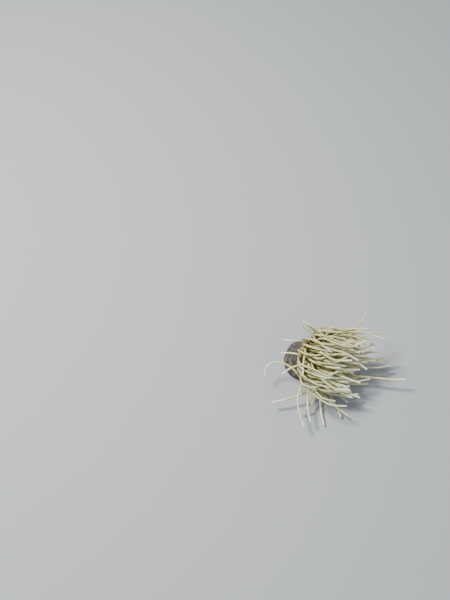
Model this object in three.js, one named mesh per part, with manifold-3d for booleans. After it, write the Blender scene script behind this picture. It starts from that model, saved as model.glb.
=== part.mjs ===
// A snakelocks sea anemone, life size, as a still model: a leaning column on a flat foot, an oral disc
// with its mouth, and five rings of long tapering tentacles combed to one side by the current.
// Millimetres, +Z up. The origin is the centre of the foot's flat underside.
import * as THREE from "three";
import { mergeVertices } from "three/addons/utils/BufferGeometryUtils.js";
import Module from "manifold-3d";

const wasm = await Module();
wasm.setup();

// ---- Driving dimensions, in millimetres and degrees ----
const CUT = 0.3; // clear gap of every thin cut between neighbouring parts

const FOOT_RADIUS = 27;
const FOOT_HEIGHT = 4;
const FOOT_SHOULDER = 25; // radius where the foot passes into the column
const FOOT_SIDES = 24;
const FOOT_SPREAD = 1.05; // the reach of its widest lobe
const FOOT_WAVES = [
  { lobes: 3, depth: 0.028, turn: 35 },
  { lobes: 5, depth: 0.018, turn: 110 },
  { lobes: 8, depth: 0.01, turn: 20 },
];

const COLUMN_RISE = 26; // length of the column's curved axis
const COLUMN_WAIST = 18.8;
const COLUMN_TOP = 23.7;
const LEAN = 50; // tilt of the disc away from level
const LEAN_HEADING = -52; // the side the animal leans to
const COLUMN_SIDES = 24;
const COLUMN_STEPS = 2; // in each of its two parts

const COLLAR_HEIGHT = 2.6;
const COLLAR_RADIUS = 24.6;
const BEADS = 20; // swellings that hold stinging cells, under the outer tentacles
const BEAD_HEIGHT = 0.9;

const DISC_RADIUS = 25.6;
const DISC_THICKNESS = 3;
const FACE_RADIUS = 7.6; // the bare middle of the disc, round the mouth
const FACE_SIDES = 20;
const FACE_STEP = 0.4; // the face lies so much lower than the rim round it
const FACE_DISH = 0.5; // and is hollowed towards the mouth
const MOUTH_LENGTH = 11;
const MOUTH_WIDTH = 7.4;
const MOUTH_RISE = 1.5;
const SLIT_LENGTH = 7.8;
const SLIT_WIDTH = 1.5;
const SLIT_DEPTH = 2.2;
const MOUTH_SIDES = 12;
const SLIT_SIDES = 8;

const SECTORS = 12;
const SECTOR_ANGLE = 360 / SECTORS;
// Rings of tentacles: radius of the roots, places across one sector, tilt of the roots off the disc's normal, and
// thickness against the rest. The innermost ring grows in every second sector only.
const RINGS = [
  { radius: 23.7, places: [3.75, 11.25, 18.75, 26.25], tilt: 60, thickness: 0.88, everySector: 1 },
  { radius: 20.5, places: [9, 21], tilt: 42, thickness: 1, everySector: 1 },
  { radius: 17.1, places: [7.5, 22.5], tilt: 27, thickness: 1.06, everySector: 1 },
  { radius: 14, places: [15], tilt: 15, thickness: 1.1, everySector: 1 },
  { radius: 10.2, places: [15], tilt: 6, thickness: 1.12, everySector: 2 },
];
const ROOT_DEPTH = 2; // how far a tentacle starts below the disc's face
const TENTACLE_LENGTH = 30;
const LENGTH_SPREAD = 24; // most stay near the shorter end of it
const LENGTH_UPSTREAM = 16; // extra length of the tentacles on the upstream side
const LENGTH_NEAR = 14; // and of those on the near side
const ROOT_RADIUS = 1.48;
const TIP_RADIUS = 0.92;
const TENTACLE_SIDES = 5;
const STEP_LENGTH = 13.6; // mean distance between the rings of a tentacle
const STRAY_STEP_LENGTH = 10.5;
const FINE = 4; // finer stages of the drawing of one step
const STEP_GROWTH = 1.25; // the rings stand closer near the root, where it bends most
const SIDE_FILL = 1.04; // a five-sided tube is drawn a little wider, to hold a round one's volume

const CURRENT = -36; // heading of the water's flow, and how far the tentacles' own headings differ from it
const CURRENT_SPREAD = 22;
const NEAR_SIDE = -60; // the middles of the near and far sides, round the disc from its downstream side
const FAR_SIDE = 90;
const FAN_NEAR = 28; // how far the tentacles of the two sides fan away from the flow
const FAN_FAR = 8;
const TURN = 40; // towards the outer ends the flow swings round by so much
const TURN_NEAR = 44; // and by so much more on the near side
const TURN_SPREAD = 60;
const TURN_LATE = 1.3; // above 1 the turn comes mostly near the tip
const BEND_LENGTH = 22; // a root gives way to the flow over this length
const BEND_SPREAD = 14;
const WAVE = 15; // sideways waver of the ordinary tentacles
const STRAY_WAVE = 6;
const WAVE_RATE = 6.5; // radians of waver over the length
const UNDULATION = 9; // up and down
const UNDULATION_RATE = 4.5;
const RISE_AT_ROOT = 6; // an ordinary tentacle leaves its bend between this much up and this much down
const FALL_AT_TIP = 14; // and its tip sinks by up to this much
const FALL_SPREAD = 10;

// Stray tentacles, by name: sector, ring and place in it, length, heading, turn over the length and how late it
// comes, rise at the root and at the tip, and the length of the first bend.
const STRAYS = {
  loop: { at: [9, 0, 3], length: 71, heading: 124, turn: 165, late: 2.4, rise: [24, -24], bend: 16 },
  trailing: { at: [0, 1, 0], length: 84, heading: -96, turn: -84, late: 0.55, rise: [14, -18], bend: 12 },
  hooked: { at: [9, 0, 2], length: 64, heading: -128, turn: 60, late: 1, rise: [-10, -12], bend: 12 },
  crossing: { at: [10, 0, 2], length: 50, heading: -68, turn: -124, late: 1.5, rise: [-18, -4], bend: 14 },
  hanging_left: { at: [10, 0, 0], length: 54, heading: -100, turn: 14, late: 1, rise: [-12, -10], bend: 14 },
  hanging_middle: { at: [11, 0, 1], length: 56, heading: -104, turn: 20, late: 1, rise: [-16, -8], bend: 16 },
  hanging_right: { at: [11, 0, 3], length: 52, heading: -92, turn: 26, late: 1, rise: [-10, -6], bend: 18 },
  straight: { at: [0, 1, 1], length: 88, heading: -20, turn: 24, late: 1, rise: [6, -2], bend: 26 },
  reaching: { at: [1, 1, 0], length: 72, heading: 2, turn: 26, late: 1.6, rise: [6, -4], bend: 24 },
  curling: { at: [1, 0, 2], length: 66, heading: -30, turn: 60, late: 1.6, rise: [4, -4], bend: 24 },
  rising: { at: [4, 0, 1], length: 62, heading: -22, turn: 104, late: 1.6, rise: [12, 4], bend: 22 },
  upright: { at: [4, 3, 0], length: 48, heading: 156, turn: -4, late: 1, rise: [60, 30], bend: 13 },
  leaning: { at: [3, 3, 0], length: 52, heading: 158, turn: 0, late: 1, rise: [58, 32], bend: 13 },
  bowed: { at: [4, 4, 0], length: 48, heading: 162, turn: -4, late: 1, rise: [60, 24], bend: 13 },
  swept_upper: { at: [6, 0, 2], length: 30, heading: 178, turn: -20, late: 1, rise: [0, -16], bend: 12 },
  swept_middle: { at: [7, 0, 2], length: 28, heading: 158, turn: 14, late: 1, rise: [0, -20], bend: 12 },
  swept_lower: { at: [8, 0, 1], length: 28, heading: 186, turn: 24, late: 1, rise: [-8, -28], bend: 12 },
  side: { at: [7, 0, 0], length: 36, heading: -98, turn: 10, late: 1, rise: [16, -22], bend: 9 },
  upper: { at: [5, 0, 1], length: 82, heading: 6, turn: -22, late: 1, rise: [14, -6], bend: 18 },
};
const STRAY_CUTS = [0.4, 0.7]; // fractions of a stray's length where it is divided

// Clearances used while the tentacles settle beside one another.
const TENTACLE_GAP = 0.78;
const FLOOR_GAP = 0.5;
const FACE_GAP = 0.9;
const COLUMN_GAP = 0.8;
const COLUMN_LEVELS = 9; // levels at which the column is felt
const SETTLING_ROUNDS = 280;
const PAIRING_ROUNDS = 20; // the near pairs are looked for again after so many rounds
const STIFF_ROUNDS = 0.5; // the share of the rounds in which a tentacle also keeps its own shape
const STIFFNESS = 0.06;
const CROWDING = 0.7; // a sample that touches several others moves by their sum over their number to this power
const INERTIA = 0.35;
const SETTLING_STEP = 0.9;
const SAMPLES = 6; // samples to a step
const HELD_STEPS = 0.6; // of a tentacle, that lie in the disc and aren't moved off it
const PAIR_REACH = 7.5;

// ---- Small helpers ----
const rad = THREE.MathUtils.degToRad;
const Z = new THREE.Vector3(0, 0, 1);

// Even, repeatable spread of values between 0 and 1, one sequence for each trait.
const SPREAD_START = 0.6;
const TRAITS = [0.6180339887, 0.7548776662, 0.569840291, 0.8191725134, 0.6710436067, 0.5497004779];
function spread(index, trait) {
  const x = SPREAD_START + (index + 1) * TRAITS[trait];
  return x - Math.floor(x);
}

function ease(x) {
  const t = Math.min(1, Math.max(0, x));
  return t * t * (3 - 2 * t);
}

function solid(geometry) {
  const bare = geometry.index ? geometry.clone() : geometry;
  bare.deleteAttribute("normal");
  bare.deleteAttribute("uv");
  const merged = mergeVertices(bare, 1e-4);
  return new wasm.Manifold(
    new wasm.Mesh({
      numProp: 3,
      vertProperties: new Float32Array(merged.attributes.position.array),
      triVerts: new Uint32Array(merged.index.array),
    }),
  );
}

function geometryOf(manifold) {
  const mesh = manifold.getMesh();
  const geometry = new THREE.BufferGeometry();
  geometry.setAttribute("position", new THREE.BufferAttribute(new Float32Array(mesh.vertProperties), 3));
  geometry.setIndex(new THREE.BufferAttribute(new Uint32Array(mesh.triVerts), 1));
  geometry.computeVertexNormals();
  return geometry;
}

// ---- Frames of the column and the disc ----
const leanSide = new THREE.Vector3(Math.cos(rad(LEAN_HEADING)), Math.sin(rad(LEAN_HEADING)), 0);
const axisRadius = COLUMN_RISE / rad(LEAN);

// A point of the column's axis and the axis's direction there, at a fraction of its length.
function axisAt(fraction) {
  const bend = rad(LEAN) * fraction;
  const point = leanSide.clone().multiplyScalar(axisRadius * (1 - Math.cos(bend)));
  point.z = FOOT_HEIGHT + CUT + axisRadius * Math.sin(bend);
  const along = leanSide.clone().multiplyScalar(Math.sin(bend)).addScaledVector(Z, Math.cos(bend));
  return { point, along };
}

function columnRadius(fraction) {
  const below = (FOOT_SHOULDER - COLUMN_WAIST) * (1 - fraction) ** 3;
  const above = (COLUMN_TOP - COLUMN_WAIST) * fraction ** 3;
  return COLUMN_WAIST + below + above;
}

const top = axisAt(1);
const discNormal = top.along;
const discDown = leanSide.clone().multiplyScalar(Math.cos(rad(LEAN))).addScaledVector(Z, -Math.sin(rad(LEAN)));
const discAcross = new THREE.Vector3().crossVectors(discNormal, discDown);
const discHeight = CUT + COLLAR_HEIGHT + CUT + DISC_THICKNESS;
const discCentre = top.point.clone().addScaledVector(discNormal, discHeight);

// Places a geometry drawn in the disc's own frame (Z out of its face, Z = 0 at the face) in the world.
function onDisc(geometry, height = 0) {
  const frame = new THREE.Matrix4().makeBasis(discDown, discAcross, discNormal);
  frame.setPosition(discCentre.clone().addScaledVector(discNormal, height));
  return geometry.applyMatrix4(frame);
}

// ---- Centrelines of the tentacles ----
function centrelines() {
  const list = [];
  const strayAt = new Map(Object.entries(STRAYS).map(([name, s]) => [s.at.join(), { name, ...s }]));
  for (let sector = 0; sector < SECTORS; sector++) {
    RINGS.forEach((ring, ringIndex) => {
      if (sector % ring.everySector) return;
      ring.places.forEach((place, placeIndex) => {
        const i = list.length;
        const stray = strayAt.get([sector, ringIndex, placeIndex].join());
        let around = rad(sector * SECTOR_ANGLE + place);
        if (around > Math.PI) around -= 2 * Math.PI;
        const out = discDown.clone().multiplyScalar(Math.cos(around)).addScaledVector(discAcross, Math.sin(around));
        const tilt = rad(ring.tilt);
        const first = discNormal.clone().multiplyScalar(Math.cos(tilt)).addScaledVector(out, Math.sin(tilt));
        const upstream = 0.5 - 0.5 * Math.cos(around);
        const near = Math.max(0, Math.cos(around - rad(NEAR_SIDE)));
        const far = Math.max(0, Math.cos(around - rad(FAR_SIDE)));
        const path = stray
          ? {
              length: stray.length,
              heading: rad(stray.heading),
              turn: rad(stray.turn),
              late: stray.late,
              rise: stray.rise.map(rad),
              bend: stray.bend,
              wave: rad(STRAY_WAVE),
            }
          : {
              length:
                TENTACLE_LENGTH + LENGTH_SPREAD * spread(i, 0) ** 2 + LENGTH_UPSTREAM * upstream + LENGTH_NEAR * near,
              heading: rad(CURRENT + FAN_FAR * far - FAN_NEAR * near + CURRENT_SPREAD * (spread(i, 1) - 0.5)),
              turn: rad(TURN + TURN_NEAR * near + TURN_SPREAD * (spread(i, 4) - 0.5)),
              late: TURN_LATE,
              rise: [
                rad(RISE_AT_ROOT * (1 - 2 * spread(i, 2))),
                rad(FALL_SPREAD * spread(i, 2) - FALL_AT_TIP),
              ],
              bend: BEND_LENGTH + BEND_SPREAD * spread(i, 3),
              wave: rad(WAVE),
            };
        const phase = 2 * Math.PI * spread(i, 5);
        const root = discCentre.clone().addScaledVector(out, ring.radius).addScaledVector(first, -ROOT_DEPTH);
        const steps = Math.round(path.length / (stray ? STRAY_STEP_LENGTH : STEP_LENGTH));
        const fine = steps * FINE;
        const points = [root];
        const at = root.clone();
        for (let j = 0; j < fine; j++) {
          const t = along((j + 0.5) / fine);
          const given = ease((t * path.length) / path.bend);
          const waver = path.wave * Math.sin(phase + WAVE_RATE * t) * Math.min(1, 2 * t);
          const heading = path.heading + path.turn * t ** path.late + waver;
          const undulation = rad(UNDULATION) * Math.sin(phase * 1.7 + UNDULATION_RATE * t) * t;
          const rise = path.rise[0] + (path.rise[1] - path.rise[0]) * t + undulation;
          const flow = new THREE.Vector3(
            Math.cos(heading) * Math.cos(rise),
            Math.sin(heading) * Math.cos(rise),
            Math.sin(rise),
          );
          const step = first.clone().multiplyScalar(1 - given).addScaledVector(flow, given).normalize();
          at.addScaledVector(step, path.length * (along((j + 1) / fine) - along(j / fine)));
          if ((j + 1) % FINE === 0) points.push(at.clone());
        }
        list.push({ sector, stray: stray?.name, thickness: ring.thickness, points });
      });
    });
  }
  return list;
}

// The fraction of a tentacle's length at a fraction of its steps.
function along(steps) {
  return steps ** STEP_GROWTH;
}

function tentacleRadius(thickness, steps) {
  return thickness * (ROOT_RADIUS + (TIP_RADIUS - ROOT_RADIUS) * along(steps));
}

// Lets the tentacles settle: wherever two come closer than their radii and a small gap, or one sinks into the
// disc, the column, the foot or the floor, the two are eased apart, again and again, with the roots held.
function settle(tentacles) {
  const moved = tentacles.map((t) => t.points.map(() => new THREE.Vector3()));
  const samples = [];
  tentacles.forEach(({ points, thickness }, owner) => {
    const steps = points.length - 1;
    for (let q = 0; q <= steps * SAMPLES; q++) {
      const low = Math.min(Math.floor(q / SAMPLES), steps - 1);
      const share = q / SAMPLES - low;
      const radius = tentacleRadius(thickness, q / (steps * SAMPLES));
      samples.push({ owner, low, share, radius, at: new THREE.Vector3() });
    }
  });
  for (const s of samples) Object.assign(s, { push: new THREE.Vector3(), touches: 0 });
  const place = () => {
    for (const s of samples) {
      const { points } = tentacles[s.owner];
      const shift = moved[s.owner];
      s.at.lerpVectors(points[s.low], points[s.low + 1], s.share);
      s.at.addScaledVector(shift[s.low], 1 - s.share).addScaledVector(shift[s.low + 1], s.share);
      s.push.set(0, 0, 0);
      s.touches = 0;
    }
  };
  const levels = Array.from({ length: COLUMN_LEVELS + 1 }, (_, k) => k / COLUMN_LEVELS);
  const body = levels.map((fraction) => ({ fraction, ...axisAt(fraction) }));
  const rel = new THREE.Vector3();
  const add = new THREE.Vector3();
  let pairs = [];
  for (let round = 0; round < SETTLING_ROUNDS; round++) {
    place();
    if (round % PAIRING_ROUNDS === 0) {
      pairs = [];
      samples.forEach((a, i) => {
        for (let j = i + 1; j < samples.length; j++) {
          const b = samples[j];
          if (a.owner !== b.owner && a.at.distanceToSquared(b.at) < PAIR_REACH ** 2) pairs.push([a, b]);
        }
      });
    }
    for (const [a, b] of pairs) {
      rel.subVectors(b.at, a.at);
      const distance = rel.length();
      const over = a.radius + b.radius + TENTACLE_GAP - distance;
      if (over <= 0) continue;
      rel.multiplyScalar((0.5 * over) / distance);
      a.push.sub(rel);
      b.push.add(rel);
      a.touches++;
      b.touches++;
    }
    for (const s of samples) {
      s.push.divideScalar(Math.max(1, s.touches) ** CROWDING);
      if (s.low + s.share < HELD_STEPS) continue;
      add.set(0, 0, 0);
      rel.subVectors(s.at, discCentre);
      const height = rel.dot(discNormal);
      const reach = Math.hypot(rel.dot(discDown), rel.dot(discAcross));
      if (reach < DISC_RADIUS + 1 && height > -DISC_THICKNESS - COLLAR_HEIGHT) {
        add.addScaledVector(discNormal, Math.max(0, s.radius + FACE_GAP - height));
      } else {
        for (const { fraction, point, along } of body) {
          rel.subVectors(s.at, point);
          const level = rel.dot(along);
          if (Math.abs(level) > COLUMN_RISE / COLUMN_LEVELS) continue;
          rel.addScaledVector(along, -level);
          const inside = columnRadius(fraction) + s.radius + COLUMN_GAP - rel.length();
          if (inside > 0) add.addScaledVector(rel.normalize(), inside);
        }
      }
      const fromFoot = Math.hypot(s.at.x, s.at.y);
      const inFoot = FOOT_RADIUS * FOOT_SPREAD + s.radius + COLUMN_GAP - fromFoot;
      if (s.at.z < FOOT_HEIGHT + s.radius && inFoot > 0) {
        add.x += (s.at.x / fromFoot) * inFoot;
        add.y += (s.at.y / fromFoot) * inFoot;
      }
      add.z += Math.max(0, s.radius + FLOOR_GAP - s.at.z);
      s.push.add(add);
    }
    const sums = tentacles.map((t) => t.points.map(() => ({ push: new THREE.Vector3(), weight: INERTIA })));
    for (const s of samples) {
      if (s.push.lengthSq() === 0) continue;
      const own = sums[s.owner];
      own[s.low].push.addScaledVector(s.push, 1 - s.share);
      own[s.low].weight += 1 - s.share;
      own[s.low + 1].push.addScaledVector(s.push, s.share);
      own[s.low + 1].weight += s.share;
    }
    const stiffness = round < SETTLING_ROUNDS * STIFF_ROUNDS ? STIFFNESS : 0;
    moved.forEach((shift, i) => {
      const last = shift.length - 1;
      for (let c = 1; c <= last; c++) shift[c].addScaledVector(sums[i][c].push, SETTLING_STEP / sums[i][c].weight);
      const before = shift.map((v) => v.clone());
      for (let c = 1; c <= last; c++) {
        shift[c].multiplyScalar(1 - 2 * stiffness).addScaledVector(before[c - 1], stiffness);
        shift[c].addScaledVector(before[Math.min(c + 1, last)], stiffness);
      }
    });
  }
  return tentacles.map((t, i) => ({ ...t, points: t.points.map((p, c) => p.clone().add(moved[i][c])) }));
}

// ---- Tapering tubes ----
// A stretch of a longer path, between two of its parameters, whose stations are even in the path's own parameter.
class Stretch extends THREE.Curve {
  constructor(path, from, to) {
    super();
    Object.assign(this, { path, from, to });
  }
  getPoint(t) {
    return this.path.getPoint(this.from + (this.to - this.from) * t);
  }
  getPointAt(t) {
    return this.getPoint(t);
  }
  getTangentAt(t) {
    return this.path.getTangent(this.from + (this.to - this.from) * t);
  }
}

// A closed tube with flat ends along a path, whose radius is a function of the fraction of its length.
function taperedTube(path, steps, sides, radiusAt) {
  const outline = new THREE.Shape();
  for (let k = 0; k < sides; k++) {
    const angle = (2 * Math.PI * k) / sides;
    if (k === 0) outline.moveTo(1, 0);
    else outline.lineTo(Math.cos(angle), Math.sin(angle));
  }
  outline.closePath();
  const geometry = new THREE.ExtrudeGeometry(outline, { steps, bevelEnabled: false, extrudePath: path });
  const stations = path.getSpacedPoints(steps);
  const position = geometry.attributes.position;
  const vertex = new THREE.Vector3();
  for (let k = 0; k < position.count; k++) {
    vertex.fromBufferAttribute(position, k);
    let nearest = 0;
    for (let s = 1; s <= steps; s++) {
      if (vertex.distanceTo(stations[s]) < vertex.distanceTo(stations[nearest])) nearest = s;
    }
    vertex.sub(stations[nearest]).multiplyScalar(radiusAt(nearest / steps)).add(stations[nearest]);
    position.setXYZ(k, vertex.x, vertex.y, vertex.z);
  }
  return geometry;
}

function tentacleTube({ path, steps, thickness }, from, to) {
  const radiusAt = (t) => SIDE_FILL * tentacleRadius(thickness, from + (to - from) * t);
  return taperedTube(new Stretch(path, from, to), Math.round(steps * (to - from)), TENTACLE_SIDES, radiusAt);
}

// ---- Materials ----
const skin = (name, colour, roughness) =>
  new THREE.MeshStandardMaterial({ name, color: colour, roughness, metalness: 0 });

const anemone = new THREE.Group();
anemone.name = "sea_anemone";
function addMesh(name, geometry, material) {
  const mesh = new THREE.Mesh(geometry, material);
  mesh.name = name;
  anemone.add(mesh);
}

// ---- Foot ----
function foot() {
  const profile = [
    [0, 0],
    [FOOT_RADIUS - 0.6, 0],
    [FOOT_RADIUS, 0.7],
    [FOOT_RADIUS - 0.5, 2],
    [FOOT_SHOULDER + 0.3, FOOT_HEIGHT],
    [0, FOOT_HEIGHT],
  ].map(([x, y]) => new THREE.Vector2(x, y));
  const geometry = new THREE.LatheGeometry(profile, FOOT_SIDES).rotateX(Math.PI / 2);
  const position = geometry.attributes.position;
  for (let k = 0; k < position.count; k++) {
    const angle = Math.atan2(position.getY(k), position.getX(k));
    const low = 1 - position.getZ(k) / FOOT_HEIGHT;
    let scale = 1;
    for (const { lobes, depth, turn } of FOOT_WAVES) scale += low * depth * Math.cos(lobes * angle + rad(turn));
    position.setX(k, position.getX(k) * scale);
    position.setY(k, position.getY(k) * scale);
  }
  return geometryOf(solid(geometry));
}
addMesh("foot", foot(), skin("foot_skin", 0x7d685e, 0.55));

// ---- Column, in two lengths ----
class ColumnAxis extends THREE.Curve {
  getPoint(t) {
    return axisAt(t).point;
  }
}
function columnPart(from, to) {
  const path = new Stretch(new ColumnAxis(), from, to);
  return geometryOf(
    solid(taperedTube(path, COLUMN_STEPS, COLUMN_SIDES, (t) => columnRadius(from + (to - from) * t))),
  );
}
const columnCut = CUT / 2 / COLUMN_RISE;
addMesh("column_lower", columnPart(0, 0.5 - columnCut), skin("lower_column_skin", 0x84695f, 0.5));
addMesh("column_upper", columnPart(0.5 + columnCut, 1), skin("upper_column_skin", 0x8c7365, 0.5));

// ---- Collar, swollen into a ring of beads ----
function collar() {
  const profile = [
    [0, 0],
    [COLUMN_TOP, 0],
    [COLLAR_RADIUS, COLLAR_HEIGHT * 0.4],
    [COLLAR_RADIUS - 0.6, COLLAR_HEIGHT],
    [0, COLLAR_HEIGHT],
  ].map(([x, y]) => new THREE.Vector2(x, y));
  const geometry = new THREE.LatheGeometry(profile, 2 * BEADS).rotateX(Math.PI / 2);
  const position = geometry.attributes.position;
  for (let k = 0; k < position.count; k++) {
    const x = position.getX(k);
    const y = position.getY(k);
    const level = position.getZ(k) / COLLAR_HEIGHT;
    const radius = Math.hypot(x, y);
    if (radius < 1 || level < 0.1 || level > 0.9) continue;
    const swell = 1 + (0.5 * BEAD_HEIGHT * (1 + Math.cos(BEADS * Math.atan2(y, x)))) / radius;
    position.setX(k, x * swell);
    position.setY(k, y * swell);
  }
  return onDisc(geometryOf(solid(geometry)), -DISC_THICKNESS - CUT - COLLAR_HEIGHT);
}
addMesh("collar", collar(), skin("collar_skin", 0x8f7c62, 0.5));

// ---- Bare middle of the oral disc, and the mouth set in it ----
function ellipse(length, width, height) {
  return new THREE.CylinderGeometry(0.5, 0.5, 1, MOUTH_SIDES)
    .rotateX(Math.PI / 2)
    .scale(length, width, height)
    .translate(0, 0, height / 2);
}
function face() {
  const profile = [
    [0, 0],
    [FACE_RADIUS - CUT, 0],
    [FACE_RADIUS - CUT, DISC_THICKNESS - FACE_STEP],
    [0, DISC_THICKNESS - FACE_STEP - FACE_DISH],
  ].map(([x, y]) => new THREE.Vector2(x, y));
  const plate = solid(new THREE.LatheGeometry(profile, FACE_SIDES).rotateX(Math.PI / 2));
  const hole = solid(ellipse(MOUTH_LENGTH + 2 * CUT, MOUTH_WIDTH + 2 * CUT, 3 * DISC_THICKNESS));
  return onDisc(geometryOf(plate.subtract(hole.translate([0, 0, -DISC_THICKNESS]))), -DISC_THICKNESS);
}
function mouth() {
  const plug = solid(ellipse(MOUTH_LENGTH, MOUTH_WIDTH, DISC_THICKNESS - 0.4));
  const lips = new THREE.SphereGeometry(1, MOUTH_SIDES, 6)
    .rotateX(Math.PI / 2)
    .scale(MOUTH_LENGTH / 2, MOUTH_WIDTH / 2, MOUTH_RISE + 0.6)
    .translate(0, 0, DISC_THICKNESS - 0.6);
  const slit = new THREE.SphereGeometry(1, SLIT_SIDES, 4)
    .rotateX(Math.PI / 2)
    .scale(SLIT_LENGTH / 2, SLIT_WIDTH / 2, SLIT_DEPTH)
    .translate(0, 0, DISC_THICKNESS + MOUTH_RISE);
  return onDisc(geometryOf(plug.add(solid(lips)).subtract(solid(slit))), -DISC_THICKNESS);
}
addMesh("oral_disc", face(), skin("disc_skin", 0x8b7c4e, 0.45));
addMesh("mouth", mouth(), skin("mouth_skin", 0xa98c6c, 0.4));

// ---- Crown: twelve sectors of the disc's rim with their tentacles, and the outer lengths of the strays ----
function rimSector(sector) {
  const from = rad(sector * SECTOR_ANGLE);
  const to = rad((sector + 1) * SECTOR_ANGLE);
  const inset = (radius) => Math.asin(CUT / 2 / radius);
  const outer = DISC_RADIUS;
  const outline = new THREE.Shape();
  outline.absarc(0, 0, outer, from + inset(outer), to - inset(outer), false);
  outline.absarc(0, 0, FACE_RADIUS, to - inset(FACE_RADIUS), from + inset(FACE_RADIUS), true);
  outline.closePath();
  const plate = new THREE.ExtrudeGeometry(outline, { depth: DISC_THICKNESS, bevelEnabled: false, curveSegments: 2 });
  return solid(onDisc(plate, -DISC_THICKNESS));
}

const tentacles = settle(centrelines()).map((t) => ({
  ...t,
  steps: t.points.length - 1,
  path: new THREE.CatmullRomCurve3(t.points, false, "catmullrom", 0.5),
}));
const cutHalf = (tentacle) => CUT / 2 / tentacle.path.getLength();
const cutAt = (tentacle, fraction) => Math.round(tentacle.steps * fraction) / tentacle.steps;
for (let sector = 0; sector < SECTORS; sector++) {
  let body = rimSector(sector);
  for (const tentacle of tentacles.filter((t) => t.sector === sector)) {
    const end = tentacle.stray ? cutAt(tentacle, STRAY_CUTS[0]) - cutHalf(tentacle) : 1;
    body = body.add(solid(tentacleTube(tentacle, 0, end)));
  }
  addMesh(`crown_sector_${String(sector + 1).padStart(2, "0")}`, geometryOf(body), skin("crown_skin", 0xb4ab7c, 0.4));
}
for (const tentacle of tentacles.filter((t) => t.stray)) {
  const [first, second] = STRAY_CUTS.map((fraction) => cutAt(tentacle, fraction));
  const half = cutHalf(tentacle);
  const lengths = { middle: [first + half, second - half], tip: [second + half, 1] };
  for (const [name, [from, to]] of Object.entries(lengths)) {
    const tube = geometryOf(solid(tentacleTube(tentacle, from, to)));
    addMesh(`${tentacle.stray}_tentacle_${name}`, tube, skin("tentacle_skin", 0xc3c09c, 0.4));
  }
}

export default anemone;
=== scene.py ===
import math

import bmesh
import bpy
import numpy as np
from mathutils import Matrix, Vector, noise


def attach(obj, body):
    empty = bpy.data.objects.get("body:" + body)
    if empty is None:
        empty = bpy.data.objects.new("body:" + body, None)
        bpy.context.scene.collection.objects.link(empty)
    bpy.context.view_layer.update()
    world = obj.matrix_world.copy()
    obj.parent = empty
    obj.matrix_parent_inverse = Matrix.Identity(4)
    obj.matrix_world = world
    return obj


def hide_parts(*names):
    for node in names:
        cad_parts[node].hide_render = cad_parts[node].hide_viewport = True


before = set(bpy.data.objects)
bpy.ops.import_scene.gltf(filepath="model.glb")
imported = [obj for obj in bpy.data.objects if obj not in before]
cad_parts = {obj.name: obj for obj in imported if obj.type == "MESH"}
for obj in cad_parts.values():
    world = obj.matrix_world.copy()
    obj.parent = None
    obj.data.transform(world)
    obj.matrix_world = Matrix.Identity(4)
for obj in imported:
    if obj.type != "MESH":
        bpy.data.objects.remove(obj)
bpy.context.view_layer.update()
MM = 0.001

# The column and its foot: a short thick trunk of soft flesh that holds the rock with a flat, spreading foot,
# narrows at the waist and widens again to the collar, whose swellings hold stinging cells. It is turned
# upright first, and leaned over once the disc is on it. Sizes are in millimetres.
CUT = 0.3  # the thin cuts between the solids, kept here so that every level agrees with theirs
FOOT_RADIUS = 27.0
FOOT_HEIGHT = 4.0
FOOT_SHOULDER = 25.0
FOOT_LOBES = ((3, 0.028, 35), (5, 0.018, 110), (8, 0.010, 20))
COLUMN_RISE = 26.0
COLUMN_WAIST = 18.8
COLUMN_TOP = 23.7
COLLAR_HEIGHT = 2.6
COLLAR_RADIUS = 24.6
BEADS = 20
BEAD_HEIGHT = 0.9
BEAD_LEVEL = 1.3
BEAD_SPAN = 0.9
WALL_SWELL = 0.7
WALL_SWELL_RATE = 2.1
WALL_FOLD = 0.16
DISC_RADIUS = 25.6
DISC_THICKNESS = 3.0
LEAN = math.radians(50)
LEAN_HEADING = math.radians(-52)
BODY_STEPS = 168

COLUMN_LEVEL = FOOT_HEIGHT + CUT
COLLAR_LEVEL = COLUMN_LEVEL + COLUMN_RISE + CUT
RIM_LEVEL = COLLAR_LEVEL + COLLAR_HEIGHT + CUT
FACE_LEVEL = RIM_LEVEL + DISC_THICKNESS


def ease(x):
    x = min(1.0, max(0.0, x))
    return x * x * (3 - 2 * x)


def column_radius(fraction):
    below = (FOOT_SHOULDER - COLUMN_WAIST) * (1 - fraction) ** 3
    above = (COLUMN_TOP - COLUMN_WAIST) * fraction**3
    return COLUMN_WAIST + below + above


def body_profile():
    """Radius and level of the upright body, from near the underside's middle up to the disc's margin."""
    line = [(FOOT_RADIUS * k / 8, 0.0) for k in range(1, 8)]
    line += [(FOOT_RADIUS - 0.5, 0.02), (FOOT_RADIUS - 0.1, 0.35), (FOOT_RADIUS, 0.9)]
    line += [(FOOT_RADIUS - 0.3, 1.8), (FOOT_RADIUS - 0.9, 2.8), (FOOT_SHOULDER + 0.35, FOOT_HEIGHT)]
    line += [(column_radius(k / 30), COLUMN_LEVEL + COLUMN_RISE * k / 30) for k in range(1, 30)]
    line += [(COLUMN_TOP, COLLAR_LEVEL - 0.2), (COLLAR_RADIUS - 0.4, COLLAR_LEVEL + 0.5)]
    line += [(COLLAR_RADIUS, COLLAR_LEVEL + 1.1), (COLLAR_RADIUS, COLLAR_LEVEL + 1.7)]
    line += [(COLLAR_RADIUS - 0.3, COLLAR_LEVEL + 2.3), (COLLAR_RADIUS, RIM_LEVEL + 0.2)]
    line += [(DISC_RADIUS - 0.4, RIM_LEVEL + 0.9), (DISC_RADIUS, RIM_LEVEL + 1.7)]
    line += [(DISC_RADIUS - 0.05, RIM_LEVEL + 2.4), (DISC_RADIUS - 0.25, FACE_LEVEL)]
    return line


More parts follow.
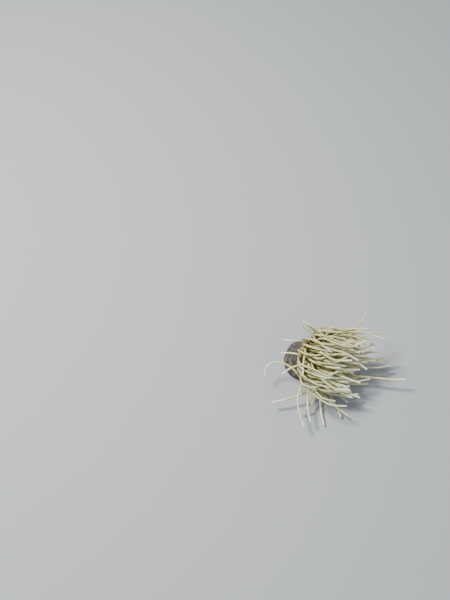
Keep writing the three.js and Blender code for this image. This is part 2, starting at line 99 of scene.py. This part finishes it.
def spun(bm, line, steps):
    """Turns a profile of radius and level right round the upright axis."""
    points = [bm.verts.new((radius * MM, 0, level * MM)) for radius, level in line]
    edges = [bm.edges.new(pair) for pair in zip(points, points[1:])]
    bmesh.ops.spin(
        bm,
        geom=points + edges,
        axis=(0, 0, 1),
        cent=(0, 0, 0),
        angle=2 * math.pi,
        steps=steps,
        use_merge=True,
        use_duplicate=False,
    )


skin = bmesh.new()
spun(skin, [(0, 0), *body_profile()], BODY_STEPS)
bmesh.ops.remove_doubles(skin, verts=skin.verts, dist=1e-6)
for v in skin.verts:
    level = v.co.z / MM
    radius = math.hypot(v.co.x, v.co.y) / MM
    if radius < 0.01:
        continue
    angle = math.atan2(v.co.y, v.co.x)
    spot = Vector((math.cos(angle), math.sin(angle), level * 0.06))
    swell = 0.0
    if level < FOOT_HEIGHT:
        low = 1 - level / FOOT_HEIGHT
        for lobes, depth, turn in FOOT_LOBES:
            swell += radius * low * depth * math.cos(lobes * (angle + LEAN_HEADING) + math.radians(turn))
    wall = ease((level - 1.5) / 6) * ease((COLLAR_LEVEL - level) / 5)
    folds = WALL_FOLD * math.cos(BEADS * 2 * angle) - WALL_FOLD
    swell += wall * (WALL_SWELL * noise.noise(spot * WALL_SWELL_RATE) + folds)
    bead = math.exp(-(((level - COLLAR_LEVEL - BEAD_LEVEL) / BEAD_SPAN) ** 2))
    swell += BEAD_HEIGHT * bead * (0.5 + 0.5 * math.cos(BEADS * angle)) ** 0.7
    scale = (radius + swell) / radius
    v.co.x *= scale
    v.co.y *= scale

# The oral disc: the flat top of the animal, with a bare face round the mouth and a rim that is nearly all
# taken up by the roots of the tentacles. Each root starts as a round hole in the rim's skin, and its
# tentacle is drawn out of that hole.
SECTORS = 12
RINGS = (
    {"radius": 23.7, "places": (3.75, 11.25, 18.75, 26.25), "tilt": 60, "thickness": 0.88, "every": 1},
    {"radius": 20.5, "places": (9, 21), "tilt": 42, "thickness": 1.00, "every": 1},
    {"radius": 17.1, "places": (7.5, 22.5), "tilt": 27, "thickness": 1.06, "every": 1},
    {"radius": 14.0, "places": (15,), "tilt": 15, "thickness": 1.10, "every": 1},
    {"radius": 10.2, "places": (15,), "tilt": 6, "thickness": 1.12, "every": 2},
)
FACE_RADIUS = 7.6
FACE_STEPS = 80
FACE_STEP = 0.4
FACE_DISH = 0.5
FACE_MIDDLE = 3
FACE_FOLDS = 24
FACE_FOLD_DEPTH = 0.12
MOUTH = (11.0, 7.4)
MOUTH_RISE = 1.5
SLIT = (7.8, 1.5)
SLIT_DEPTH = 2.2
LIP_CREST = 0.62
LIP_SPAN = 0.34
LIP_FOLD = 0.10
ROOT_SIDES = 12
ROOT_FLARE = 1.6  # radius of the hole of a tentacle of middle thickness


def root_places():
    """Sector, ring, place and angle of every tentacle, in the order they stand in."""
    for sector in range(SECTORS):
        for ring, row in enumerate(RINGS):
            if sector % row["every"]:
                continue
            for place, across in enumerate(row["places"]):
                angle = math.radians(sector * 360 / SECTORS + across)
                yield sector, ring, place, angle if angle <= math.pi else angle - 2 * math.pi


roots = list(root_places())
margin = [e for e in skin.edges if e.is_boundary]
spun(skin, [(FACE_RADIUS * (1 - k / 28), FACE_LEVEL) for k in range(29)], FACE_STEPS)
bmesh.ops.remove_doubles(skin, verts=skin.verts, dist=1e-6)
face_edge = [e for e in skin.edges if e.is_boundary and e not in margin]
holes = []
for sector, ring, place, angle in roots:
    radius = RINGS[ring]["radius"] * MM
    spot = Matrix.Translation((radius * math.cos(angle), radius * math.sin(angle), FACE_LEVEL * MM))
    made = bmesh.ops.create_circle(
        skin,
        segments=ROOT_SIDES,
        radius=ROOT_FLARE * RINGS[ring]["thickness"] * MM,
        matrix=spot @ Matrix.Rotation(angle, 4, "Z"),
    )
    holes += dict.fromkeys(e for v in made["verts"] for e in v.link_edges)
bmesh.ops.triangle_fill(skin, use_beauty=True, edges=margin + face_edge + holes)
for v in skin.verts:
    x, y, level = (c / MM for c in v.co)
    if level < FACE_LEVEL - 0.01:
        continue
    reach = math.hypot(x, y)
    inner = 1 - ease((reach - FACE_MIDDLE) / (FACE_RADIUS - FACE_MIDDLE))
    lip = math.hypot(2 * x / MOUTH[0], 2 * y / MOUTH[1])
    slit = math.hypot(2 * x / SLIT[0], 2 * y / SLIT[1])
    folds = math.cos(FACE_FOLDS * math.atan2(y, x))
    height = -FACE_DISH * inner - FACE_STEP * ease(FACE_RADIUS - reach)
    if reach < FACE_RADIUS - 0.1:
        height += FACE_FOLD_DEPTH * folds * ease((lip - 1) / 0.3) * ease((FACE_RADIUS - reach) / 2)
    height += MOUTH_RISE * math.exp(-(((lip - LIP_CREST) / LIP_SPAN) ** 2)) * (1 + LIP_FOLD * folds)
    height -= SLIT_DEPTH * (1 - ease(slit / 1.5))
    v.co.z += height * MM

lean_side = Vector((math.cos(LEAN_HEADING), math.sin(LEAN_HEADING), 0))
upward = Vector((0, 0, 1))
axis_radius = COLUMN_RISE / LEAN


def axis_at(fraction):
    """A point of the leaning column's axis, in millimetres, and the axis's direction there."""
    bend = LEAN * fraction
    point = lean_side * (axis_radius * (1 - math.cos(bend)))
    point.z = COLUMN_LEVEL + axis_radius * math.sin(bend)
    return point, lean_side * math.sin(bend) + upward * math.cos(bend)


disc_across = upward.cross(lean_side)
for v in skin.verts:
    x, y, level = (c / MM for c in v.co)
    fraction = min(1.0, max(0.0, (level - COLUMN_LEVEL) / COLUMN_RISE))
    point, axis = axis_at(fraction)
    beyond = level - COLUMN_LEVEL - COLUMN_RISE * fraction
    down = disc_across.cross(axis)
    v.co = (point + axis * beyond + down * x + disc_across * y) * MM

top, disc_normal = axis_at(1)
disc_down = disc_across.cross(disc_normal)
disc_centre = top + disc_normal * (FACE_LEVEL - COLUMN_LEVEL - COLUMN_RISE)

# The centrelines of the tentacles. Each leaves the disc at its own tilt, gives way to the water's flow and
# trails along it with a slow waver; a few strays go their own way. Then they settle beside one another.
# Sizes are in millimetres and headings in degrees.
STEP_LENGTH = 13.6
STRAY_STEP_LENGTH = 10.5
STEP_GROWTH = 1.25
FINE = 4  # short steps that are walked for each one that is kept
ROOT_DEPTH = 2.0
TENTACLE_LENGTH = 30.0
LENGTH_SPREAD = 24.0
LENGTH_UPSTREAM = 16.0
LENGTH_NEAR = 14.0
ROOT_RADIUS = 1.48
TIP_RADIUS = 0.92
CURRENT = -36
CURRENT_SPREAD = 22
NEAR_SIDE = math.radians(-60)
FAR_SIDE = math.radians(90)
FAN_NEAR = 28
FAN_FAR = 8
TURN = 40
TURN_NEAR = 44
TURN_SPREAD = 60
TURN_LATE = 1.3
BEND_LENGTH = 22.0
BEND_SPREAD = 14.0
WAVE = 15
STRAY_WAVE = 6
WAVE_RATE = 6.5
UNDULATION = 9
UNDULATION_RATE = 4.5
RISE_AT_ROOT = 6
FALL_AT_TIP = 14
FALL_SPREAD = 10
# sector, ring and place: length, heading, turn and how late it comes, rise at root and tip, length of the
# first bend
STRAYS = {
    (9, 0, 3): (71, 124, 165, 2.4, 24, -24, 16),
    (0, 1, 0): (84, -96, -84, 0.55, 14, -18, 12),
    (9, 0, 2): (64, -128, 60, 1, -10, -12, 12),
    (10, 0, 2): (50, -68, -124, 1.5, -18, -4, 14),
    (10, 0, 0): (54, -100, 14, 1, -12, -10, 14),
    (11, 0, 1): (56, -104, 20, 1, -16, -8, 16),
    (11, 0, 3): (52, -92, 26, 1, -10, -6, 18),
    (0, 1, 1): (88, -20, 24, 1, 6, -2, 26),
    (1, 1, 0): (72, 2, 26, 1.6, 6, -4, 24),
    (1, 0, 2): (66, -30, 60, 1.6, 4, -4, 24),
    (4, 0, 1): (62, -22, 104, 1.6, 12, 4, 22),
    (4, 3, 0): (48, 156, -4, 1, 60, 30, 13),
    (3, 3, 0): (52, 158, 0, 1, 58, 32, 13),
    (4, 4, 0): (48, 162, -4, 1, 60, 24, 13),
    (6, 0, 2): (30, 178, -20, 1, 0, -16, 12),
    (7, 0, 2): (28, 158, 14, 1, 0, -20, 12),
    (8, 0, 1): (28, 186, 24, 1, -8, -28, 12),
    (7, 0, 0): (36, -98, 10, 1, 16, -22, 9),
    (5, 0, 1): (82, 6, -22, 1, 14, -6, 18),
}
SPREAD_START = 0.6
TRAITS = (0.6180339887, 0.7548776662, 0.569840291, 0.8191725134, 0.6710436067, 0.5497004779)


def spread(index, trait):
    x = SPREAD_START + (index + 1) * TRAITS[trait]
    return x - math.floor(x)


def grown(steps):
    return steps**STEP_GROWTH


def tentacle_radius(thickness, steps):
    return thickness * (ROOT_RADIUS + (TIP_RADIUS - ROOT_RADIUS) * grown(steps))


def centreline(index, sector, ring, place, angle):
    out = disc_down * math.cos(angle) + disc_across * math.sin(angle)
    tilt = math.radians(RINGS[ring]["tilt"])
    first = disc_normal * math.cos(tilt) + out * math.sin(tilt)
    stray = STRAYS.get((sector, ring, place))
    if stray:
        length, heading, turn, late, rise, fall, bend = stray
        waver = STRAY_WAVE
    else:
        upstream = 0.5 - 0.5 * math.cos(angle)
        near = max(0.0, math.cos(angle - NEAR_SIDE))
        far = max(0.0, math.cos(angle - FAR_SIDE))
        length = TENTACLE_LENGTH + LENGTH_SPREAD * spread(index, 0) ** 2
        length += LENGTH_UPSTREAM * upstream + LENGTH_NEAR * near
        heading = CURRENT + FAN_FAR * far - FAN_NEAR * near + CURRENT_SPREAD * (spread(index, 1) - 0.5)
        turn = TURN + TURN_NEAR * near + TURN_SPREAD * (spread(index, 4) - 0.5)
        late = TURN_LATE
        rise = RISE_AT_ROOT * (1 - 2 * spread(index, 2))
        fall = FALL_SPREAD * spread(index, 2) - FALL_AT_TIP
        bend = BEND_LENGTH + BEND_SPREAD * spread(index, 3)
        waver = WAVE
    phase = 2 * math.pi * spread(index, 5)
    at = disc_centre + out * RINGS[ring]["radius"] - first * ROOT_DEPTH
    fine = FINE * math.floor(length / (STRAY_STEP_LENGTH if stray else STEP_LENGTH) + 0.5)
    line = [at.copy()]
    for j in range(fine):
        t = grown((j + 0.5) / fine)
        given = ease(t * length / bend)
        sway = math.radians(waver) * math.sin(phase + WAVE_RATE * t) * min(1, 2 * t)
        yaw = math.radians(heading) + math.radians(turn) * t**late + sway
        dip = math.radians(UNDULATION) * math.sin(phase * 1.7 + UNDULATION_RATE * t) * t
        pitch = math.radians(rise) + math.radians(fall - rise) * t + dip
        level = math.cos(pitch)
        flow = Vector((math.cos(yaw) * level, math.sin(yaw) * level, math.sin(pitch)))
        step = (first * (1 - given) + flow * given).normalized()
        at = at + step * (length * (grown((j + 1) / fine) - grown(j / fine)))
        if (j + 1) % FINE == 0:
            line.append(at.copy())
    return np.array(line)


TENTACLE_GAP = 0.78
FLOOR_GAP = 0.5
FACE_GAP = 0.9
COLUMN_GAP = 0.8
COLUMN_LEVELS = 9
FOOT_SPREAD = 1.05
SETTLING_ROUNDS = 280
PAIRING_ROUNDS = 20
STIFF_ROUNDS = 0.5
STIFFNESS = 0.06
CROWDING = 0.7
INERTIA = 0.35
SETTLING_STEP = 0.9
SAMPLES = 6
HELD_STEPS = 0.6
PAIR_REACH = 7.5


def near_pairs(at, owner):
    """Index pairs of the samples of different tentacles that are near enough to be watched."""
    found = []
    for k in range(owner[-1]):
        mine = np.nonzero(owner == k)[0]
        others = np.nonzero(owner > k)[0]
        apart = at[mine][:, None] - at[others][None]
        a, b = np.nonzero((apart**2).sum(2) < PAIR_REACH**2)
        found.append(np.stack([mine[a], others[b]]))
    return np.concatenate(found, 1)


def settle(lines, thickness):
    """Eases apart whatever comes too close, or sinks into the disc, column, foot or floor, round by round."""
    starts = np.cumsum([0] + [len(line) for line in lines])
    design = np.concatenate(lines)
    owner, low, share, radius, held = [], [], [], [], []
    for k, line in enumerate(lines):
        steps = len(line) - 1
        for q in range(steps * SAMPLES + 1):
            step = min(q // SAMPLES, steps - 1)
            owner.append(k)
            low.append(starts[k] + step)
            share.append(q / SAMPLES - step)
            radius.append(tentacle_radius(thickness[k], q / (steps * SAMPLES)))
            held.append(q / SAMPLES < HELD_STEPS)
    owner, low, held = np.array(owner), np.array(low), np.array(held)
    share, radius = np.array(share)[:, None], np.array(radius)[:, None]
    is_root = np.zeros(len(design), bool)
    is_root[starts[:-1]] = True
    before = np.maximum(np.arange(len(design)) - 1, 0)
    after = np.arange(len(design)) + 1
    after[starts[1:] - 1] = starts[1:] - 1
    normal, down, across, middle = (np.array(v) for v in (disc_normal, disc_down, disc_across, disc_centre))
    levels = [(k / COLUMN_LEVELS, *axis_at(k / COLUMN_LEVELS)) for k in range(COLUMN_LEVELS + 1)]
    moved = np.zeros_like(design)
    for turn in range(SETTLING_ROUNDS):
        now = design + moved
        at = now[low] * (1 - share) + now[low + 1] * share
        if turn % PAIRING_ROUNDS == 0:
            one, two = near_pairs(at, owner)
            reach = radius[one] + radius[two] + TENTACLE_GAP
        apart = at[two] - at[one]
        distance = np.linalg.norm(apart, axis=1, keepdims=True)
        over = (reach - distance)[:, 0] > 0
        half = apart[over] / distance[over] * 0.5 * (reach - distance)[over]
        push = np.zeros_like(at)
        touches = np.zeros((len(at), 1))
        np.add.at(push, one[over], -half)
        np.add.at(push, two[over], half)
        np.add.at(touches, one[over], 1)
        np.add.at(touches, two[over], 1)
        push /= np.maximum(touches, 1) ** CROWDING
        add = np.zeros_like(at)
        rel = at - middle
        height = rel @ normal
        on_face = np.hypot(rel @ down, rel @ across) < DISC_RADIUS + 1
        on_face &= height > -DISC_THICKNESS - COLLAR_HEIGHT
        add += normal * (np.maximum(0, radius[:, 0] + FACE_GAP - height) * on_face)[:, None]
        for fraction, point, direction in levels:
            rel = at - np.array(point)
            level = rel @ np.array(direction)
            flat = rel - np.array(direction) * level[:, None]
            length = np.linalg.norm(flat, axis=1)
            inside = column_radius(fraction) + radius[:, 0] + COLUMN_GAP - length
            inside *= (np.abs(level) <= COLUMN_RISE / COLUMN_LEVELS) & ~on_face
            add += flat / np.maximum(length, 1e-9)[:, None] * np.maximum(0, inside)[:, None]
        from_foot = np.hypot(at[:, 0], at[:, 1])
        in_foot = FOOT_RADIUS * FOOT_SPREAD + radius[:, 0] + COLUMN_GAP - from_foot
        in_foot = np.maximum(0, in_foot) * (at[:, 2] < FOOT_HEIGHT + radius[:, 0])
        add[:, :2] += at[:, :2] / from_foot[:, None] * in_foot[:, None]
        add[:, 2] += np.maximum(0, radius[:, 0] + FLOOR_GAP - at[:, 2])
        push += add * ~held[:, None]
        live = (push**2).sum(1, keepdims=True) > 0
        total = np.zeros_like(design)
        weight = np.full((len(design), 1), INERTIA)
        np.add.at(total, low, push * (1 - share))
        np.add.at(total, low + 1, push * share)
        np.add.at(weight, low, live * (1 - share))
        np.add.at(weight, low + 1, live * share)
        moved = moved + SETTLING_STEP * total / weight
        moved[is_root] = 0
        stiffness = STIFFNESS if turn < SETTLING_ROUNDS * STIFF_ROUNDS else 0
        moved = moved * (1 - 2 * stiffness) + (moved[before] + moved[after]) * stiffness
        moved[is_root] = 0
    return np.split(design + moved, starts[1:-1])


thickness = [RINGS[ring]["thickness"] for _, ring, _, _ in roots]
lines = settle([centreline(k, *root) for k, root in enumerate(roots)], thickness)

# The tentacles: long, soft, tapering fingers with blunt tips, drawn out of the disc's skin. One plain tube of
# rings is laid along every centreline in turn, and its open end is joined to that tentacle's hole.
RING_COUNT = 44
ROOT_STAGES = (0.0, 0.5, 1.1, 1.8, 2.6, 3.5)
ROOT_TURN = 3.6  # over this length the rings turn from the disc's normal to the tentacle's own direction
FLARE_LENGTH = 2.4
TIP_STAGES = (1.0, 0.72, 0.4, 0.14, 0.0)
LINE_SAMPLES = 400
ROOT_SAMPLES = 80  # the first samples, among which the line leaves the disc
TANGENT_REACH = 0.4
LUMP_DEPTH = 0.05
WELD_REACH = 2e-5  # in metres


def smooth_line(points, count):
    """Even-in-parameter samples of the smooth curve through a centreline's points."""
    ends = np.concatenate([2 * points[:1] - points[1:2], points, 2 * points[-1:] - points[-2:-1]])
    u = np.linspace(0, len(points) - 1, count)
    k = np.minimum(u.astype(int), len(points) - 2)
    t = (u - k)[:, None]
    a, b, c, d = (ends[k + n] for n in range(4))
    return 0.5 * (2 * b + (c - a) * t + (2 * a - 5 * b + 4 * c - d) * t**2 + (3 * b - a - 3 * c + d) * t**3)


def tube_rings(points, index):
    """Centre, radius, frame and reach of each ring of one tentacle, in millimetres."""
    line = smooth_line(points, LINE_SAMPLES)
    gone = np.concatenate([[0], np.cumsum(np.linalg.norm(np.diff(line, axis=0), axis=1))])
    steps = np.linspace(0, 1, len(line))
    above = (line - np.array(disc_centre)) @ np.array(disc_normal)
    start = np.interp(0, above[:ROOT_SAMPLES], gone[:ROOT_SAMPLES])
    length = gone[-1] - start
    at = list(ROOT_STAGES)
    body = RING_COUNT - len(ROOT_STAGES) - len(TIP_STAGES)
    free = length - TIP_RADIUS - ROOT_STAGES[-1]
    at += [ROOT_STAGES[-1] + free * (k + 1) / (body + 1) for k in range(body)]
    at += [length - TIP_RADIUS * stage for stage in TIP_STAGES]
    centres = [Vector([np.interp(start + s, gone, line[:, d]) for d in range(3)]) for s in at]
    ring, angle = roots[index][1], roots[index][3]
    side = disc_down * math.cos(angle) + disc_across * math.sin(angle)
    aside = disc_centre + side * RINGS[ring]["radius"] - centres[0]
    rings = []
    for k, s in enumerate(at):
        centre = centres[k] + aside * (1 - ease(s / ROOT_TURN))
        ahead = np.clip(start + s + TANGENT_REACH, 0, gone[-1])
        behind = np.clip(start + s - TANGENT_REACH, 0, gone[-1])
        tangent = Vector([float(np.diff(np.interp((behind, ahead), gone, line[:, d]))[0]) for d in range(3)])
        tangent.normalize()
        if s < ROOT_TURN:
            tangent = disc_normal.slerp(tangent, s / ROOT_TURN)
        side = (side - tangent * side.dot(tangent)).normalized()
        share = float(np.interp(start + s, gone, steps))
        radius = tentacle_radius(thickness[index], share)
        lump = noise.noise(Vector((index * 3.7, s * 0.16, 0.5)))
        radius *= 1 + LUMP_DEPTH * lump
        radius += (ROOT_FLARE - ROOT_RADIUS) * thickness[index] * (1 - ease(s / FLARE_LENGTH))
        left = length - s
        if left < TIP_RADIUS:
            radius *= math.sqrt(max(0.0, 1 - (1 - left / TIP_RADIUS) ** 2))
        if k == 0:
            radius = ROOT_FLARE * thickness[index]
        rings.append((centre, radius, side.copy(), tangent.cross(side), s / length))
    return rings


tube = bmesh.new()
bmesh.ops.create_circle(tube, segments=ROOT_SIDES, radius=1.0)
edge = list(tube.edges)
for k in range(1, RING_COUNT):
    made = bmesh.ops.extrude_edge_only(tube, edges=edge)["geom"]
    edge = [e for e in made if isinstance(e, bmesh.types.BMEdge)]
    bmesh.ops.translate(tube, vec=(0, 0, 1), verts=[v for v in made if isinstance(v, bmesh.types.BMVert)])
last = list(dict.fromkeys(v for e in edge for v in e.verts))
bmesh.ops.pointmerge(tube, verts=last, merge_co=(0, 0, RING_COUNT - 1))
tube_mesh = bpy.data.meshes.new("tube")
tube.to_mesh(tube_mesh)
tube.free()
template = np.empty(len(tube_mesh.vertices) * 3)
tube_mesh.vertices.foreach_get("co", template)
template = template.reshape(-1, 3)
ring_of = np.rint(template[:, 2]).astype(int)

skin.verts.index_update()
seam = list(dict.fromkeys(v.index for e in holes for v in e.verts))
reach_layer = skin.verts.layers.float.new("reach")
tone_and_far_shade_layer = skin.verts.layers.float.new("tone")
for v in skin.verts:
    v[tone_and_far_shade_layer] = 0.5
for index, points in enumerate(lines):
    rings = tube_rings(points, index)
    begin = len(skin.verts)
    skin.from_mesh(tube_mesh)
    skin.verts.ensure_lookup_table()
    # Each tentacle's own random tone, plus painted shade: the tentacles on the disc's far side are made
    # browner and darker.
    tone = 0.65 * spread(index, 1) + 0.35 * max(0.0, math.cos(roots[index][3] - FAR_SIDE))
    for n, (x, y, z) in enumerate(template):
        middle, radius, side, other, reach = rings[ring_of[n]]
        v = skin.verts[begin + n]
        v.co = (middle + (side * x + other * y) * radius) * MM
        v[reach_layer] = reach
        v[tone_and_far_shade_layer] = tone
    seam += [begin + n for n in range(len(template)) if ring_of[n] == 0]
bmesh.ops.remove_doubles(skin, verts=[skin.verts[k] for k in seam], dist=WELD_REACH)
bmesh.ops.recalc_face_normals(skin, faces=skin.faces)
for f in skin.faces:
    f.smooth = True
mesh = bpy.data.meshes.new("anemone_skin")
skin.to_mesh(mesh)
skin.free()
anemone = bpy.data.objects.new("anemone_skin", mesh)
bpy.context.scene.collection.objects.link(anemone)


# The skin: soft wet flesh, olive brown where the tentacles crowd at their roots, khaki along them and paling
# to cream and bluish white at the tips, with painted shade browning the tentacles on the disc's far side; the
# column is a mottled brown with a mauve cast, darkened throughout with painted shade.
class Value:
    """A socket of the skin's material that plain arithmetic works on."""

    def __init__(self, maker, socket):
        self.maker = maker
        self.socket = socket

    def math(self, operation, *others, flip=False):
        inputs = [self, *others]
        if flip:
            inputs.reverse()
        return self.maker.node("ShaderNodeMath", {"operation": operation}, dict(enumerate(inputs)))

    def __add__(self, other):
        return self.math("ADD", other)

    def __radd__(self, other):
        return self.math("ADD", other)

    def __sub__(self, other):
        return self.math("SUBTRACT", other)

    def __rsub__(self, other):
        return self.math("SUBTRACT", other, flip=True)

    def __mul__(self, other):
        return self.math("MULTIPLY", other)

    def __rmul__(self, other):
        return self.math("MULTIPLY", other)


class Finish:
    """A material under the making."""

    def __init__(self, name):
        self.material = bpy.data.materials.new(name)
        self.material.use_nodes = True
        self.tree = self.material.node_tree
        self.shader = self.tree.nodes["Principled BSDF"]

    def node(self, kind, settings=None, sockets=None, output=0):
        made = self.tree.nodes.new(kind)
        for key, value in (settings or {}).items():
            if key == "stops":
                ramp = made.color_ramp
                while len(ramp.elements) < len(value):
                    ramp.elements.new(0.5)
                for element, (place, colour) in zip(ramp.elements, value):
                    element.position = place
                    element.color = (*colour, 1)
            else:
                setattr(made, key, value)
        for key, value in (sockets or {}).items():
            self.join(made.inputs[key], value)
        return Value(self, made.outputs[output])

    def join(self, socket, value):
        if isinstance(value, Value):
            self.tree.links.new(value.socket, socket)
        elif isinstance(value, tuple) and len(value) == 3 and len(socket.default_value) == 4:
            socket.default_value = (*value, 1)
        else:
            socket.default_value = value

    def blend(self, factor, one, two):
        return self.node(
            "ShaderNodeMix",
            {"data_type": "RGBA", "clamp_factor": True},
            {0: factor, 6: one, 7: two},
            output=2,
        )


def flesh():
    finish = Finish("anemone_flesh")
    place = finish.node("ShaderNodeTexCoord", output=3)
    reach = finish.node("ShaderNodeAttribute", {"attribute_name": "reach"}, output=2)
    tone = finish.node("ShaderNodeAttribute", {"attribute_name": "tone"}, output=2)

    def grain(scale, detail):
        return finish.node("ShaderNodeTexNoise", {}, {"Vector": place, "Scale": scale, "Detail": detail})

    def ramp(value, *stops):
        return finish.node("ShaderNodeValToRGB", {"stops": stops}, {"Fac": value})

    def between(value, low, high):
        return finish.node(
            "ShaderNodeMapRange",
            {"interpolation_type": "SMOOTHSTEP", "clamp": True},
            {"Value": value, "From Min": low, "From Max": high},
        )

    mottle = grain(220, 4)
    cloud = grain(60, 3)
    speck = grain(1400, 2)
    normal = tuple(disc_normal)
    height = finish.node(
        "ShaderNodeVectorMath",
        {"operation": "DOT_PRODUCT"},
        {0: place, 1: normal},
        output=1,
    )
    above = height - disc_centre.dot(disc_normal) * MM
    arm = between(reach, 0.0, 0.02)
    length = reach + (cloud - 0.5) * 0.16 + (tone - 0.5) * 0.10
    arm_colour = ramp(
        length,
        (0.00, (0.245, 0.205, 0.078)),
        (0.14, (0.375, 0.338, 0.135)),
        (0.40, (0.510, 0.492, 0.225)),
        (0.70, (0.620, 0.620, 0.360)),
        (0.88, (0.740, 0.765, 0.560)),
        (1.00, (0.860, 0.910, 0.800)),
    )
    arm_colour = finish.blend(between(mottle, 0.35, 0.75) * 0.28, arm_colour, (0.230, 0.215, 0.105))
    # Painted shade and random tone: the tentacles on the disc's far side, and some at random, are blended
    # toward a warm brown.
    arm_colour = finish.blend(between(tone, 0.45, 1.0) * 0.80, arm_colour, (0.385, 0.310, 0.115))
    # The column's own mottled brown with a mauve cast, darkened throughout with painted shade.
    column_colour_and_shade = ramp(
        mottle,
        (0.34, (0.014, 0.010, 0.009)),
        (0.50, (0.045, 0.035, 0.032)),
        (0.66, (0.125, 0.100, 0.094)),
    )
    column_colour_and_shade = finish.blend(between(cloud, 0.45, 0.65) * 0.5, column_colour_and_shade, (0.055, 0.038, 0.044))
    disc_colour = ramp(
        mottle,
        (0.3, (0.190, 0.150, 0.060)),
        (0.7, (0.320, 0.265, 0.120)),
    )
    bare_colour = finish.blend(between(above, -0.006, -0.003), column_colour_and_shade, disc_colour)
    colour = finish.blend(arm, bare_colour, arm_colour)
    colour = finish.blend(between(speck, 0.60, 0.72) * arm * 0.25, colour, (0.700, 0.680, 0.520))
    finish.join(finish.shader.inputs["Base Color"], colour)
    finish.join(finish.shader.inputs["Roughness"], 0.78 - arm * 0.48 + mottle * 0.16)
    bumps = finish.node(
        "ShaderNodeBump", {}, {"Strength": 0.35, "Distance": 0.0006, "Height": mottle * 0.6 + speck * 0.4}
    )
    finish.join(finish.shader.inputs["Normal"], bumps)
    finish.join(finish.shader.inputs["Subsurface Weight"], 0.35)
    finish.join(finish.shader.inputs["Subsurface Radius"], (1.0, 0.75, 0.35))
    finish.join(finish.shader.inputs["Subsurface Scale"], 0.0025)
    finish.join(finish.shader.inputs["Coat Weight"], 0.05 + arm * 0.45)
    finish.join(finish.shader.inputs["Coat Roughness"], 0.14)
    return finish.material


mesh.materials.append(flesh())
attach(anemone, "root")
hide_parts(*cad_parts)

# The setting: a plain pale floor, soft light from above and to the left, and the camera looking steeply down,
# with the animal low and to the right of the middle.
FRAME_WIDTH, FRAME_HEIGHT = 450, 600
FOOT_AT = (307, 361)  # where the foot's middle falls in the frame
MM_PER_PIXEL = 1.15
LOOK_DOWN = math.radians(57)
LENS = 43.5
SENSOR = 36.0
FLOOR_SIZE = 6.0
FLOOR_DROP = 0.0002
LIGHT_AIM = Vector((0.03, 0, 0.03))

floor_bm = bmesh.new()
bmesh.ops.create_grid(floor_bm, x_segments=1, y_segments=1, size=FLOOR_SIZE)
bmesh.ops.translate(floor_bm, vec=(0, 0, -FLOOR_DROP), verts=floor_bm.verts)
floor_mesh = bpy.data.meshes.new("floor")
floor_bm.to_mesh(floor_mesh)
floor_bm.free()
floor = bpy.data.objects.new("floor", floor_mesh)
bpy.context.scene.collection.objects.link(floor)
floor_finish = Finish("pale_floor")
floor_finish.join(floor_finish.shader.inputs["Base Color"], (0.31, 0.33, 0.35))
floor_finish.join(floor_finish.shader.inputs["Roughness"], 0.8)
floor_mesh.materials.append(floor_finish.material)

world = bpy.data.worlds.new("studio")
world.use_nodes = True
sky = world.node_tree.nodes["Background"]
sky.inputs["Color"].default_value = (0.80, 0.83, 0.86, 1)
sky.inputs["Strength"].default_value = 0.62
bpy.context.scene.world = world


def softbox(name, place, size, power, colour):
    light = bpy.data.lights.new(name, "AREA")
    light.shape = "SQUARE"
    light.size = size
    light.energy = power
    light.color = colour
    box = bpy.data.objects.new(name, light)
    box.location = place
    box.rotation_euler = (LIGHT_AIM - Vector(place)).to_track_quat("-Z", "Y").to_euler()
    bpy.context.scene.collection.objects.link(box)


softbox("key", (-0.75, 0.25, 1.25), 0.32, 46, (1.0, 0.98, 0.94))
softbox("fill", (1.1, -0.9, 0.9), 1.0, 5, (0.92, 0.96, 1.0))

across = (FOOT_AT[0] - FRAME_WIDTH / 2) * MM_PER_PIXEL * MM
below = (FOOT_AT[1] - FRAME_HEIGHT / 2) * MM_PER_PIXEL * MM
distance = FRAME_HEIGHT * MM_PER_PIXEL * MM * LENS / SENSOR
image_up = Vector((0, math.sin(LOOK_DOWN), math.cos(LOOK_DOWN)))
toward_camera = Vector((0, -math.cos(LOOK_DOWN), math.sin(LOOK_DOWN)))
camera = bpy.data.objects.new("camera", bpy.data.cameras.new("camera"))
camera.data.lens = LENS
camera.data.sensor_fit = "VERTICAL"
camera.data.sensor_height = SENSOR
camera.location = Vector((-across, 0, 0)) + image_up * below + toward_camera * distance
camera.rotation_euler = (-toward_camera).to_track_quat("-Z", "Y").to_euler()
bpy.context.scene.collection.objects.link(camera)
bpy.context.scene.camera = camera
